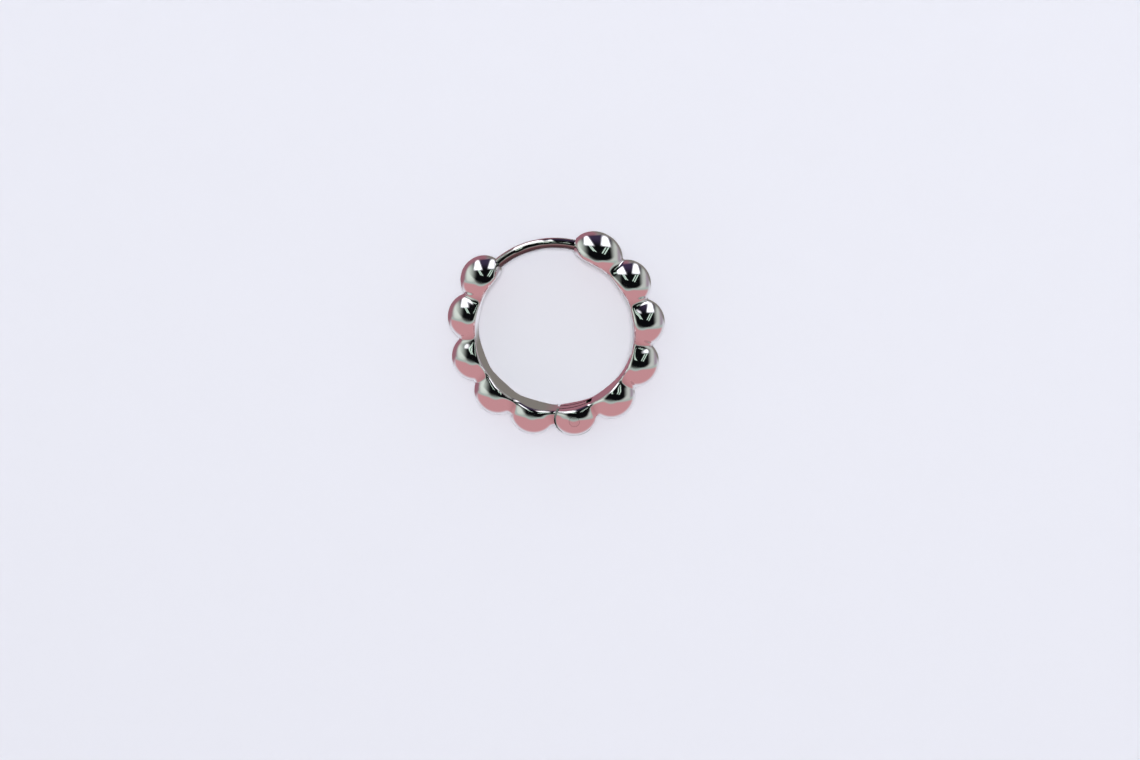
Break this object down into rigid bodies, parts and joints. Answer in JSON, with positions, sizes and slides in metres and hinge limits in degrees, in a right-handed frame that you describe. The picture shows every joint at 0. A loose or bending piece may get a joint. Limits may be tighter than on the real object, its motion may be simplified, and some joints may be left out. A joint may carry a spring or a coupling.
{
  "type": "beaded hoop earring",
  "caption": "Small hinged hoop earring of polished fused beads with a plain ear wire that closes into the end bead.",
  "frame": {"origin": "on the surface that the hoop lies on, under the middle of its outline", "axes": "+Z is the hoop's own axis, pointing up as it lies on its side; +Y runs from the hinge bead towards the middle of the ear wire; +X is the catch side"},
  "size_m": [0.0192, 0.018, 0.0039],
  "materials": {
    "cast_metal": "mirror polished, white silver colour",
    "pin_metal": "ground flush and polished",
    "wire_metal": "drawn and polished"
  },
  "bodies": {
    "wire_side": {"wire_half": "cast_metal", "ear_wire": "wire_metal"},
    "catch_side": {"catch_half": "cast_metal", "hinge_pin": "pin_metal"}
  },
  "joints": [
    {"name": "hinge", "type": "hinge", "parent": "wire_side", "child": "catch_side", "pos_m": [0, -0.00734, 0.00197], "axis": [0, 0, -1], "range_deg": [0, 60]}
  ]
}
